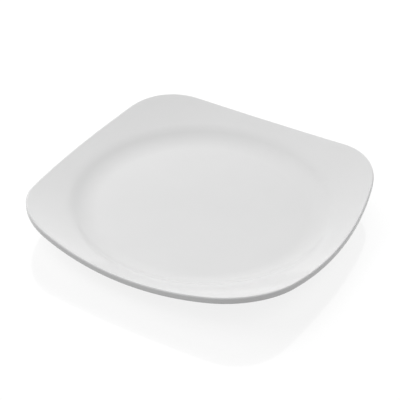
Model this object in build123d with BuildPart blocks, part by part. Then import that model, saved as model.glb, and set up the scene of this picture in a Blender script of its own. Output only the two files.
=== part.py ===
from build123d import *
from math import asin, cos, degrees, hypot, radians, sin, tan
import os

# Square dinner plate in porcelain: one fired body, and the glaze that covers all of it but the foot's land.
# Millimetres, +Z up. The origin is on the table at the plate's axis, and X and Y run square to its sides.

# Plan, over the glaze
SIDE = 260.0                # from the middle of one side to the middle of the opposite one
SIDE_BOW_RADIUS = 338.0     # each side bows outwards
CORNER_RADIUS = 62.0

# Section, over the glaze and the same all the way round
RIM_WIDTH = 13.0            # in plan, at the middle of a side, where the rim is narrowest
RIM_ANGLE = 22.0            # slope where the rim starts
RIM_FLARE_RADIUS = 273.0    # the rim curls up towards its edge
SHOULDER_RADIUS = 46.0      # full curve from the rim down into the wall
WALL_ANGLE = 34.0           # steepest slope of the wall
COVE_RADIUS = 34.0          # hollow curve from the wall on to the level floor of the well
PLATE_THICKNESS = 5.6
LIP_RADIUS = 1.0            # upper edge of the rim
UNDERLIP_RADIUS = 2.5       # lower edge of the rim

# Foot ring
FOOT_SETBACK = 0.2          # level base left between the ring's outer root and the curve of the wall
FOOT_HEIGHT = 5.2           # from the table to the glazed base
FOOT_LAND = 4.0             # width of the ground face that stands on the table
FOOT_DRAFT = 18.0           # slant of the ring's two sides
FOOT_ROOT_RADIUS = 2.0
LAND_EDGE_RADIUS = 0.5

# Glaze
GLAZE_THICKNESS = 0.3
GLAZE_LINE = 1.4            # the foot is wiped bare up to this height

# Worked out from the sizes above
rim_start = SIDE / 2 - RIM_WIDTH
shoulder_run = SHOULDER_RADIUS * (sin(radians(WALL_ANGLE)) - sin(radians(RIM_ANGLE)))
cove_run = COVE_RADIUS * sin(radians(WALL_ANGLE))
floor_radius = rim_start - shoulder_run - cove_run
floor_height = FOOT_HEIGHT + PLATE_THICKNESS
foot_skin = GLAZE_THICKNESS / cos(radians(FOOT_DRAFT))
foot_spread = FOOT_LAND / 2 + foot_skin + FOOT_HEIGHT * tan(radians(FOOT_DRAFT))
root_radius = min(FOOT_ROOT_RADIUS, FOOT_HEIGHT / 2)
root_run = root_radius * tan(radians(90 - FOOT_DRAFT) / 2)
foot_middle = floor_radius - FOOT_SETBACK - root_run - foot_spread
square_corner = hypot(SIDE / 2, SIDE / 2)
flare_end = asin(sin(radians(RIM_ANGLE)) + (square_corner - rim_start) / RIM_FLARE_RADIUS)
flare_angle = degrees(flare_end) - RIM_ANGLE


def dish_line(depth):
    """Half-section of the surface this deep under the glazed face, from the axis past the corners."""
    floor = Line((0, floor_height - depth), (floor_radius, floor_height - depth))
    cove = JernArc(floor @ 1, floor % 1, COVE_RADIUS + depth, WALL_ANGLE)
    shoulder = JernArc(cove @ 1, cove % 1, SHOULDER_RADIUS - depth, RIM_ANGLE - WALL_ANGLE)
    flare = JernArc(shoulder @ 1, shoulder % 1, RIM_FLARE_RADIUS + depth, flare_angle)
    return floor @ 0, flare @ 1


def plate_form(inset):
    """The plate's whole shape, drawn in by inset from the glazed surface but still on the table."""
    skin = (GLAZE_THICKNESS - inset) / cos(radians(FOOT_DRAFT))
    foot_top = floor_height + PLATE_THICKNESS
    foot_low = FOOT_LAND / 2 + skin
    foot_high = foot_low + foot_top * tan(radians(FOOT_DRAFT))

    with BuildPart() as form:
        # Blank: a disc cut to four bowed sides, with its corners rounded, taller than the plate
        with BuildSketch() as plan:
            Circle(square_corner)
            for bow in PolarLocations(SIDE_BOW_RADIUS - SIDE / 2, 4):
                with Locations(bow):
                    Circle(SIDE_BOW_RADIUS - inset, mode=Mode.INTERSECT)
            fillet(plan.vertices(), CORNER_RADIUS - inset)
        extrude(amount=SIDE / 2)

        # The back is turned away to follow the face, and the edge that it leaves is rounded
        with BuildSketch(Plane.XZ):
            with BuildLine():
                axis_end, rim_end = dish_line(PLATE_THICKNESS - inset)
                Polyline(rim_end, (rim_end.X, -SIDE), (axis_end.X, -SIDE), axis_end)
            make_face()
        revolve(axis=Axis.Z, mode=Mode.SUBTRACT)
        fillet(form.edges(Select.NEW).filter_by(GeomType.BSPLINE), UNDERLIP_RADIUS - inset)

        # The foot ring runs up into the blank, with a rounded root on both sides
        with BuildSketch(Plane.XZ):
            with BuildLine():
                Polyline(
                    (foot_middle - foot_low, 0),
                    (foot_middle + foot_low, 0),
                    (foot_middle + foot_high, foot_top),
                    (foot_middle - foot_high, foot_top),
                    close=True,
                )
            make_face()
        revolve(axis=Axis.Z)
        foot_circles = form.edges(Select.NEW).filter_by(GeomType.CIRCLE)
        roots = foot_circles.filter_by(lambda edge: edge.center().Z > FOOT_HEIGHT / 2)
        fillet(roots, root_radius + inset)

        # The face is dished out of the top, and its edge is rounded
        with BuildSketch(Plane.XZ):
            with BuildLine():
                axis_end, rim_end = dish_line(inset)
                Polyline(rim_end, (rim_end.X, SIDE), (axis_end.X, SIDE), axis_end)
            make_face()
        revolve(axis=Axis.Z, mode=Mode.SUBTRACT)
        fillet(form.edges(Select.NEW).filter_by(GeomType.BSPLINE), LIP_RADIUS - inset)
    return form.part


# Fired body, bare only on the foot ring
with BuildPart() as porcelain_body:
    add(plate_form(GLAZE_THICKNESS))
    land_edges = porcelain_body.edges().filter_by(GeomType.CIRCLE).group_by(Axis.Z)[0]
    fillet(land_edges, LAND_EDGE_RADIUS)

# The coat of glaze is what lies over the body, and the bare foot ring parts it in two
with BuildPart() as glaze_coat:
    add(plate_form(0))
    split(bisect_by=Plane.XY.offset(GLAZE_LINE), keep=Keep.TOP)
    add(porcelain_body.part, mode=Mode.SUBTRACT)
base_coat, outer_coat = glaze_coat.solids().sort_by(SortBy.VOLUME)

# Face, edge and back, down to the line on the outside of the foot
with BuildPart() as outer_glaze:
    add(outer_coat)

# Base inside the foot ring
with BuildPart() as base_glaze:
    add(base_coat)

porcelain_body.part.label = "porcelain_body"
outer_glaze.part.label = "outer_glaze"
base_glaze.part.label = "base_glaze"

os.makedirs("parts", exist_ok=True)
export_step(porcelain_body.part, "parts/porcelain_body.step")
export_step(outer_glaze.part, "parts/outer_glaze.step")
export_step(base_glaze.part, "parts/base_glaze.step")
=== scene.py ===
from math import asin, atan, atan2, cos, hypot, pi, radians, sin, sqrt, tan

import bpy
from mathutils import Matrix, Vector


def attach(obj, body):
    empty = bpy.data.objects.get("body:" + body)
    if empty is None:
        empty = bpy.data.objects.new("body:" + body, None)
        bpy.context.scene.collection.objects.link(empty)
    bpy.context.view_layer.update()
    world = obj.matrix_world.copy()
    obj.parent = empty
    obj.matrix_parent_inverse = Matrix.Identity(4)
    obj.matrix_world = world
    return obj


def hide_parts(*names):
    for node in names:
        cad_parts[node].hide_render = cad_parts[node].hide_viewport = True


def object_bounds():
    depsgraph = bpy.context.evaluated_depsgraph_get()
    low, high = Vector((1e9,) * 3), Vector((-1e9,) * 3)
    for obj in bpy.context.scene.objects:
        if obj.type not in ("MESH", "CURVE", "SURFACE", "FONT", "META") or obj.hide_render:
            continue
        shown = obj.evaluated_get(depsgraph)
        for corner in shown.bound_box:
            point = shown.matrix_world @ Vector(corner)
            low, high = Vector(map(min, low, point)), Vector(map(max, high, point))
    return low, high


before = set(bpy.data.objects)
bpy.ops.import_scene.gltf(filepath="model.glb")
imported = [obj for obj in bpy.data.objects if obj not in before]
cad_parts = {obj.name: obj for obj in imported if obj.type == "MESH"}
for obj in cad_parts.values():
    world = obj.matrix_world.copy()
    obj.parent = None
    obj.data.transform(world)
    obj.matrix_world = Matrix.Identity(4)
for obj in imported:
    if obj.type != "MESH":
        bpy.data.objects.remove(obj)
cad_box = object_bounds()

# Square dinner plate in white glazed porcelain, standing on a white table that mirrors it faintly.
# Metres, +Z up, in the frame of the CAD model: the origin is on the table at the plate's axis.
MM = 0.001

# Plan of the plate over its glaze
SIDE = cad_box[1].x - cad_box[0].x
SIDE_BOW_RADIUS = 338 * MM
CORNER_RADIUS = 62 * MM

# Section of the plate over its glaze, the same all the way round
RIM_WIDTH = 13 * MM
RIM_ANGLE = radians(22)
RIM_FLARE_RADIUS = 273 * MM
SHOULDER_RADIUS = 46 * MM
WALL_ANGLE = radians(34)
COVE_RADIUS = 34 * MM
PLATE_THICKNESS = 5.6 * MM
LIP_RADIUS = 1.0 * MM
UNDERLIP_RADIUS = 2.5 * MM

# Foot ring
FOOT_SETBACK = 0.2 * MM
FOOT_HEIGHT = 5.2 * MM
FOOT_LAND = 4.0 * MM
FOOT_DRAFT = radians(18)
FOOT_ROOT_RADIUS = 2.0 * MM
LAND_EDGE_RADIUS = 0.5 * MM
OUTSIDE = 1                 # the ring's two sides
INSIDE = -1

# Glaze
GLAZE_THICKNESS = 0.3 * MM
GLAZE_LINE = 1.4 * MM

# How finely the surfaces are drawn
TURN_STEPS = 336            # round the plate, few enough to keep each mesh under 200,000 triangles
FLOOR_STEPS = 12
COVE_STEPS = 24
SHOULDER_STEPS = 10
LIP_STEPS = 12
ROOT_STEPS = 10
BEAD_STEPS = 8
RIM_SHARES = (0.1, 0.25, 0.4, 0.55, 0.7, 0.82, 0.91, 0.97)      # rows across the rim, closer near its edge
FIRST_ROW = 0.1             # share of a step that the first row of a floor lies from the axis
HOLD = 0.25 * MM            # a row this close to a tight curve keeps the broad surface beside it true
SETTLING = 4                # passes that find where a rounded edge meets the sloping surface

# Studio lamps in degrees, metres and watts: four soft boxes of one size, and a low lit backdrop
BOX_POWERS = {120: 2.94, 210: 2.78, 30: 1.14, 300: 1.67}        # by the box's direction round the plate
BOX_ABOVE = 45
BOX_DISTANCE = 0.8
BOX_SIDE = 0.6
BACKDROP_POWER = 29.8
BACKDROP_AROUND = 120
BACKDROP_ABOVE = 4.8
BACKDROP_DISTANCE = 2.4
BACKDROP_WIDTH = 2.0
BACKDROP_HEIGHT = 0.4

# How brightly the surroundings and the table shine, where 1 is white
FILL = 0.1                  # the surroundings, as they light the plate
TABLE_GLOW = 0.36           # the table, as it lights the plate from below
TABLE_SEEN = 0.77           # the table, where it is looked at: the lamps bring it up to white
TABLE_RADIUS = 3

# Camera, set where the photograph's outline of the plate puts it
CAMERA_AROUND = radians(29.31)
CAMERA_ABOVE = radians(36.09)
CAMERA_ROLL = radians(1.313)
CAMERA_DISTANCE = 0.9824
CAMERA_AIM = Vector((-0.01409, 0.01988, 0))
SENSOR_WIDTH = 36
LENS = 101.15

# Worked out from the sizes above
rim_start = SIDE / 2 - RIM_WIDTH
shoulder_run = SHOULDER_RADIUS * (sin(WALL_ANGLE) - sin(RIM_ANGLE))
cove_run = COVE_RADIUS * sin(WALL_ANGLE)
floor_radius = rim_start - shoulder_run - cove_run
floor_height = FOOT_HEIGHT + PLATE_THICKNESS
foot_spread = FOOT_LAND / 2 + GLAZE_THICKNESS / cos(FOOT_DRAFT) + FOOT_HEIGHT * tan(FOOT_DRAFT)
root_turn = pi / 2 - FOOT_DRAFT
root_run = FOOT_ROOT_RADIUS * tan(root_turn / 2)
foot_middle = floor_radius - FOOT_SETBACK - root_run - foot_spread
bow_middle = SIDE / 2 - SIDE_BOW_RADIUS
corner_middle = (bow_middle + sqrt(2 * (SIDE_BOW_RADIUS - CORNER_RADIUS) ** 2 - bow_middle ** 2)) / 2
corner_slant = atan2(corner_middle, corner_middle - bow_middle)
turns = [2 * pi * step / TURN_STEPS for step in range(TURN_STEPS)]


def dish(out, depth):
    """Height and slope, at this distance from the axis, of the surface this deep under the glazed face."""
    cove = COVE_RADIUS + depth
    shoulder = SHOULDER_RADIUS - depth
    flare = RIM_FLARE_RADIUS + depth
    wall_out = floor_radius + cove * sin(WALL_ANGLE)
    rim_out = wall_out + shoulder * (sin(WALL_ANGLE) - sin(RIM_ANGLE))
    wall_up = floor_height - depth + cove * (1 - cos(WALL_ANGLE))
    rim_up = wall_up + shoulder * (cos(RIM_ANGLE) - cos(WALL_ANGLE))
    if out <= floor_radius:
        return floor_height - depth, 0
    if out <= wall_out:
        slope = asin((out - floor_radius) / cove)
        return floor_height - depth + cove * (1 - cos(slope)), slope
    if out <= rim_out:
        slope = asin(sin(WALL_ANGLE) - (out - wall_out) / shoulder)
        return wall_up + shoulder * (cos(slope) - cos(WALL_ANGLE)), slope
    slope = asin(sin(RIM_ANGLE) + (out - rim_out) / flare)
    return rim_up + flare * (cos(RIM_ANGLE) - cos(slope)), slope


def plan_edge(turn, inset):
    """Point of the plan's edge in this direction from the axis, and the direction square to it there."""
    quarter = round(turn / (pi / 2)) * (pi / 2)
    ray = Vector((cos(turn - quarter), sin(turn - quarter)))
    centre = Vector((bow_middle, 0))
    radius = SIDE_BOW_RADIUS - inset

    def meet():
        along = ray.dot(centre)
        return ray * (along + sqrt(radius ** 2 - centre.length_squared + along ** 2))

    point = meet()
    if abs(atan2(point.y, point.x - bow_middle)) > corner_slant:
        centre = Vector((corner_middle, corner_middle if ray.y > 0 else -corner_middle))
        radius = CORNER_RADIUS - inset
        point = meet()
    turned = Matrix.Rotation(quarter, 2)
    return turned @ point, turned @ (point - centre).normalized()


def edge_section(turn, inset):
    """Points over the lip, down the edge and round the underlip, at one place on the plate's outline."""
    edge, outward = plan_edge(turn, inset)

    def surface(back, depth):
        point = edge - back * outward
        height, slope = dish(point.length, depth)
        return height, atan(tan(slope) * point.normalized().dot(outward))

    lip = LIP_RADIUS - inset
    back = lip
    for _ in range(SETTLING):
        height, lean = surface(back, inset)
        back = lip * (1 + sin(lean))
    lip_middle = height - lip * cos(lean)
    section = []
    for step in range(LIP_STEPS + 1):
        angle = lean - (lean + pi / 2) * step / LIP_STEPS
        section.append((lip * (1 + sin(angle)), lip_middle + lip * cos(angle)))

    underlip = UNDERLIP_RADIUS - inset
    back = underlip
    for _ in range(SETTLING):
        height, lean = surface(back, PLATE_THICKNESS - inset)
        back = underlip * (1 - sin(lean))
    underlip_middle = height + underlip * cos(lean)
    for level in (lip_middle - HOLD, (lip_middle + underlip_middle) / 2, underlip_middle + HOLD):
        section.append((0, level))
    for step in range(LIP_STEPS + 1):
        angle = pi / 2 - (pi / 2 - lean) * step / LIP_STEPS
        section.append((underlip * (1 - sin(angle)), underlip_middle - underlip * cos(angle)))
    return [(edge - back * outward).to_3d() + Vector((0, 0, level)) for back, level in section]


def circle(out, level):
    return [Vector((out * cos(turn), out * sin(turn), level)) for turn in turns]


def edge_rings(inset):
    sections = [edge_section(turn, inset) for turn in turns]
    return [list(ring) for ring in zip(*sections)]


def floor_outs(reach):
    """Distances from the axis of the rows on a level floor that reaches this far."""
    return [reach * (step + FIRST_ROW) / FLOOR_STEPS for step in range(FLOOR_STEPS)] + [reach - HOLD]


def dish_rings(depth):
    """Circles of the dished surface at this depth, from the axis to where the rim starts."""
    cove = COVE_RADIUS + depth
    shoulder = SHOULDER_RADIUS - depth
    outs = floor_outs(floor_radius)
    for step in range(COVE_STEPS + 1):
        outs.append(floor_radius + cove * sin(WALL_ANGLE * step / COVE_STEPS))
    wall_out = outs[-1]
    for step in range(1, SHOULDER_STEPS + 1):
        slope = WALL_ANGLE + (RIM_ANGLE - WALL_ANGLE) * step / SHOULDER_STEPS
        outs.append(wall_out + shoulder * (sin(WALL_ANGLE) - sin(slope)))
    return [circle(out, dish(out, depth)[0]) for out in outs]


def rim_rings(start, end, depth):
    """Rows across the rim, from the circle where it starts to the row where its edge begins to curve."""
    rings = []
    for share in RIM_SHARES:
        ring = []
        for inner, outer in zip(start, end):
            point = inner.lerp(outer, share)
            point.z = dish(hypot(point.x, point.y), depth)[0]
            ring.append(point)
        rings.append(ring)
    return rings


def foot_side(inset, side):
    """Rounded root and one side of the foot ring, from the base down to the bead of glaze."""
    coat = (GLAZE_THICKNESS - inset) / cos(FOOT_DRAFT)
    base = FOOT_HEIGHT + inset
    root = FOOT_ROOT_RADIUS + inset
    spread = FOOT_LAND / 2 + coat
    root_middle = spread + base * tan(FOOT_DRAFT) + root * tan(root_turn / 2)
    points = []
    for step in range(ROOT_STEPS + 1):
        angle = pi / 2 + root_turn * step / ROOT_STEPS
        points.append((root_middle + root * cos(angle), base - root + root * sin(angle)))
    for level in (GLAZE_LINE + GLAZE_THICKNESS, GLAZE_LINE + GLAZE_THICKNESS / 2):
        points.append((spread + level * tan(FOOT_DRAFT), level))
    return [circle(foot_middle + side * out, level) for out, level in points]


def foot_bead(side):
    """Round end of the glaze where it was wiped off the foot, from its outside in to the body."""
    bead = GLAZE_THICKNESS / 2
    level = GLAZE_LINE + bead
    middle = FOOT_LAND / 2 + bead / cos(FOOT_DRAFT) + level * tan(FOOT_DRAFT)
    rings = []
    for step in range(1, BEAD_STEPS):
        angle = -FOOT_DRAFT - pi * step / BEAD_STEPS
        rings.append(circle(foot_middle + side * (middle + bead * cos(angle)), level + bead * sin(angle)))
    return rings


def land_side(side):
    """Bare end of the foot ring, from under the bead of glaze round the ground edge on to the land."""
    middle = FOOT_LAND / 2 - LAND_EDGE_RADIUS * tan(root_turn / 2)
    rings = []
    for level in (GLAZE_LINE, LAND_EDGE_RADIUS + HOLD):
        rings.append(circle(foot_middle + side * (FOOT_LAND / 2 + level * tan(FOOT_DRAFT)), level))
    for step in range(BEAD_STEPS + 1):
        angle = -FOOT_DRAFT - root_turn * step / BEAD_STEPS
        out = middle + LAND_EDGE_RADIUS * cos(angle)
        rings.append(circle(foot_middle + side * out, LAND_EDGE_RADIUS * (1 + sin(angle))))
    rings.append(circle(foot_middle + side * (middle - HOLD), 0))
    return rings


def upper_rings(inset):
    """The plate's face, edge and back, from the axis over the rim to the outer root of the foot."""
    edge = edge_rings(inset)
    depth = PLATE_THICKNESS - inset
    face = dish_rings(inset)
    back = [ring for ring in dish_rings(depth) if ring[0].x > floor_radius]
    face_rim = rim_rings(face[-1], edge[0], inset)
    back_rim = rim_rings(back[-1], edge[-1], depth)
    return face + face_rim + edge + back_rim[::-1] + back[::-1] + foot_side(inset, OUTSIDE)


def base_rings(inset):
    """The base inside the foot ring, from the axis out to the ring's inner root and down its side."""
    inner_side = foot_side(inset, INSIDE)
    reach = inner_side[0][0].x
    return [circle(out, FOOT_HEIGHT + inset) for out in floor_outs(reach)] + inner_side


def skin(name, rings):
    """A closed mesh through rings of points, with a point at the axis to close each end."""
    points = [point for ring in rings for point in ring]
    first_end = len(points)
    last_end = first_end + 1
    points.append(Vector((0, 0, rings[0][0].z)))
    points.append(Vector((0, 0, rings[-1][0].z)))
    faces = []
    for row in range(len(rings) - 1):
        for column in range(TURN_STEPS):
            beside = (column + 1) % TURN_STEPS
            here = row * TURN_STEPS
            there = here + TURN_STEPS
            faces.append((here + column, there + column, there + beside, here + beside))
    last_row = (len(rings) - 1) * TURN_STEPS
    for column in range(TURN_STEPS):
        beside = (column + 1) % TURN_STEPS
        faces.append((first_end, column, beside))
        faces.append((last_end, last_row + beside, last_row + column))
    mesh = bpy.data.meshes.new(name)
    mesh.from_pydata(points, [], faces)
    mesh.shade_smooth()
    piece = bpy.data.objects.new(name, mesh)
    bpy.context.collection.objects.link(piece)
    return piece


def stand_for(piece, node, material):
    """The piece stands for a node of the CAD model and takes its finish."""
    piece.data.materials.append(material)
    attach(piece, "root")
    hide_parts(node)


def linear(colour):
    """An sRGB hex colour as linear RGBA."""
    shares = [int(colour[at:at + 2], 16) / 255 for at in (1, 3, 5)]
    levels = [share / 12.92 if share <= 0.04045 else ((share + 0.055) / 1.055) ** 2.4 for share in shares]
    return levels + [1]


def add_node(tree, kind, settings, links):
    """One shader node. Settings are its own choices; links give a socket a value or another node's output."""
    node = tree.nodes.new(kind)
    for name, value in settings.items():
        setattr(node, name, value)
    for name, value in links.items():
        if isinstance(value, bpy.types.NodeSocket):
            tree.links.new(value, node.inputs[name])
        else:
            node.inputs[name].default_value = value
    return node


# Sockets of the Mix node when it mixes colours
MIX_SHARE = 0
MIX_FIRST = 6
MIX_SECOND = 7
MIX_RESULT = 2


def new_material(name):
    material = bpy.data.materials.new(name)
    material.use_nodes = True
    material.node_tree.nodes.clear()
    return material, material.node_tree


def glazed_porcelain():
    """White porcelain dipped in clear gloss glaze and fired: a clean even white under a thin glassy skin.

    The skin gives weak, sharp reflections that waver a little, because the glaze flows and sets like orange
    peel, and its depth clouds the white very faintly.
    """
    CLOUD = 45 * MM
    PEEL = 2.5 * MM
    PEEL_DEPTH = 0.02 * MM
    material, tree = new_material("glazed_porcelain")
    spot = add_node(tree, "ShaderNodeTexCoord", {}, {})
    cloud = add_node(tree, "ShaderNodeTexNoise", {}, {
        "Vector": spot.outputs["Object"], "Scale": 1 / CLOUD, "Detail": 3, "Roughness": 0.5})
    peel = add_node(tree, "ShaderNodeTexNoise", {}, {
        "Vector": spot.outputs["Object"], "Scale": 1 / PEEL, "Detail": 1, "Roughness": 0.4})
    white = add_node(tree, "ShaderNodeMix", {"data_type": "RGBA"}, {
        MIX_SHARE: cloud.outputs["Fac"],
        MIX_FIRST: linear("#E2E2E2"), MIX_SECOND: linear("#E6E6E6")})
    roughness = add_node(tree, "ShaderNodeMapRange", {}, {
        "Value": cloud.outputs["Fac"], "To Min": 0.05, "To Max": 0.08})
    ripple = add_node(tree, "ShaderNodeBump", {}, {
        "Height": peel.outputs["Fac"], "Strength": 0.15, "Distance": PEEL_DEPTH})
    shader = add_node(tree, "ShaderNodeBsdfPrincipled", {}, {
        "Base Color": white.outputs[MIX_RESULT], "Roughness": roughness.outputs[0], "IOR": 1.5,
        "Normal": ripple.outputs["Normal"]})
    add_node(tree, "ShaderNodeOutputMaterial", {}, {"Surface": shader.outputs["BSDF"]})
    return material


def ground_porcelain():
    """Unglazed porcelain, ground flat on a wheel: dry and chalky, a little warmer and greyer than the glaze.

    The wheel leaves fine rings, and the bare body shows its grain as specks.
    """
    GRAIN = 0.25 * MM
    RINGS = 0.5 * MM        # real wheel marks are finer; these are as coarse as they need to be to show
    TOOTH_DEPTH = 0.03 * MM
    ring_scale = pi / (10 * RINGS)      # at a scale of 1 the wave node's rings are pi / 10 apart
    material, tree = new_material("ground_porcelain")
    spot = add_node(tree, "ShaderNodeTexCoord", {}, {})
    grain = add_node(tree, "ShaderNodeTexNoise", {}, {
        "Vector": spot.outputs["Object"], "Scale": 1 / GRAIN, "Detail": 4, "Roughness": 0.6})
    rings = add_node(tree, "ShaderNodeTexWave", {"wave_type": "RINGS", "rings_direction": "Z"}, {
        "Vector": spot.outputs["Object"], "Scale": ring_scale, "Distortion": 1.5, "Detail": 2})
    body = add_node(tree, "ShaderNodeMix", {"data_type": "RGBA"}, {
        MIX_SHARE: grain.outputs["Fac"],
        MIX_FIRST: linear("#CFCAC0"), MIX_SECOND: linear("#E4E0D8")})
    height = add_node(tree, "ShaderNodeMath", {"operation": "ADD"}, {
        0: grain.outputs["Fac"], 1: rings.outputs["Fac"]})
    tooth = add_node(tree, "ShaderNodeBump", {}, {
        "Height": height.outputs[0], "Strength": 0.4, "Distance": TOOTH_DEPTH})
    shader = add_node(tree, "ShaderNodeBsdfPrincipled", {}, {
        "Base Color": body.outputs[MIX_RESULT], "Roughness": 0.75, "IOR": 1.5,
        "Normal": tooth.outputs["Normal"]})
    add_node(tree, "ShaderNodeOutputMaterial", {}, {"Surface": shader.outputs["BSDF"]})
    return material


def seen_directly(tree):
    """One where a camera, a reflection or a clear thing looks at the surface, zero where it gives light."""
    path = add_node(tree, "ShaderNodeLightPath", {}, {})
    looked_at = add_node(tree, "ShaderNodeMath", {"operation": "MAXIMUM"}, {
        0: path.outputs["Is Camera Ray"], 1: path.outputs["Is Glossy Ray"]})
    looked_at = add_node(tree, "ShaderNodeMath", {"operation": "MAXIMUM"}, {
        0: looked_at.outputs[0], 1: path.outputs["Is Transmission Ray"]})
    return looked_at.outputs[0]


def opal_polycarbonate():
    """White polycarbonate sheet lit from below, as on a light table: white, with a faint mirror image.

    It also throws back some of the lamps' light, so the plate casts a soft shadow on it. It is seen from
    above only, and shines more weakly on the plate than it looks.
    """
    material, tree = new_material("opal_polycarbonate")
    seen = add_node(tree, "ShaderNodeBsdfPrincipled", {}, {
        "Base Color": linear("#868686"), "Roughness": 0.02, "IOR": 1.585,
        "Emission Color": linear("#FFFFFF"), "Emission Strength": TABLE_SEEN})
    glow = add_node(tree, "ShaderNodeEmission", {}, {"Color": linear("#FFFFFF"), "Strength": TABLE_GLOW})
    top = add_node(tree, "ShaderNodeMixShader", {}, {
        0: seen_directly(tree), 1: glow.outputs[0], 2: seen.outputs[0]})
    below = add_node(tree, "ShaderNodeBsdfTransparent", {}, {})
    face = add_node(tree, "ShaderNodeNewGeometry", {}, {})
    one_sided = add_node(tree, "ShaderNodeMixShader", {}, {
        0: face.outputs["Backfacing"], 1: top.outputs[0], 2: below.outputs[0]})
    add_node(tree, "ShaderNodeOutputMaterial", {}, {"Surface": one_sided.outputs[0]})
    return material


def table():
    mesh = bpy.data.meshes.new("table")
    mesh.from_pydata(circle(TABLE_RADIUS, 0), [], [range(TURN_STEPS)])
    mesh.materials.append(opal_polycarbonate())
    floor = bpy.data.objects.new("table", mesh)
    bpy.context.collection.objects.link(floor)


def lamp(name, around, above, distance, width, height, power):
    """A soft light that faces the plate. The glaze doesn't mirror it, but only the white surroundings."""
    level = cos(radians(above))
    towards = Vector((cos(radians(around)) * level, sin(radians(around)) * level, sin(radians(above))))
    facing = towards.to_track_quat("Z", "Y").to_matrix().to_4x4()
    light = bpy.data.lights.new(name, "AREA")
    light.shape = "RECTANGLE"
    light.size = width
    light.size_y = height
    light.energy = power
    holder = bpy.data.objects.new(name, light)
    holder.matrix_world = Matrix.Translation(distance * towards) @ facing
    holder.visible_glossy = False
    bpy.context.collection.objects.link(holder)


def surroundings():
    """A studio that looks white where it is seen, and gives a weak even light from all round."""
    world = bpy.data.worlds.new("studio")
    world.use_nodes = True
    bpy.context.scene.world = world
    tree = world.node_tree
    tree.nodes.clear()
    fill = add_node(tree, "ShaderNodeBackground", {}, {"Color": linear("#FFFFFF"), "Strength": FILL})
    white = add_node(tree, "ShaderNodeBackground", {}, {"Color": linear("#FFFFFF"), "Strength": 1})
    mixed = add_node(tree, "ShaderNodeMixShader", {}, {
        0: seen_directly(tree), 1: fill.outputs[0], 2: white.outputs[0]})
    add_node(tree, "ShaderNodeOutputWorld", {}, {"Surface": mixed.outputs[0]})


def camera():
    level = cos(CAMERA_ABOVE)
    back = Vector((sin(CAMERA_AROUND) * level, -cos(CAMERA_AROUND) * level, sin(CAMERA_ABOVE)))
    right = Vector((cos(CAMERA_AROUND), sin(CAMERA_AROUND), 0))
    upright = Matrix((right, back.cross(right), back)).transposed()
    turned = upright @ Matrix.Rotation(CAMERA_ROLL, 3, "Z")
    lens = bpy.data.cameras.new("camera")
    lens.sensor_width = SENSOR_WIDTH
    lens.lens = LENS
    eye = bpy.data.objects.new("camera", lens)
    eye.matrix_world = Matrix.Translation(CAMERA_AIM + CAMERA_DISTANCE * back) @ turned.to_4x4()
    bpy.context.collection.objects.link(eye)
    bpy.context.scene.camera = eye


# The plate: the body's surface under the glaze is also the inner surface of the glaze
body_upper = upper_rings(GLAZE_THICKNESS)
body_base = base_rings(GLAZE_THICKNESS)
glaze = glazed_porcelain()
outer_glaze = skin("plate_glaze", upper_rings(0) + foot_bead(OUTSIDE) + body_upper[::-1])
stand_for(outer_glaze, "outer_glaze", glaze)
base_glaze = skin("plate_base_glaze", body_base + foot_bead(INSIDE)[::-1] + base_rings(0)[::-1])
stand_for(base_glaze, "base_glaze", glaze)
bare_end = land_side(OUTSIDE) + land_side(INSIDE)[::-1]
body = skin("plate_body", body_upper + bare_end + body_base[::-1])
stand_for(body, "porcelain_body", ground_porcelain())

# Stage, light and camera
table()
lamp("backdrop", BACKDROP_AROUND, BACKDROP_ABOVE, BACKDROP_DISTANCE,
     BACKDROP_WIDTH, BACKDROP_HEIGHT, BACKDROP_POWER)
for around, power in BOX_POWERS.items():
    lamp("soft_box", around, BOX_ABOVE, BOX_DISTANCE, BOX_SIDE, BOX_SIDE, power)
surroundings()
camera()
bpy.context.scene.view_settings.view_transform = "Standard"
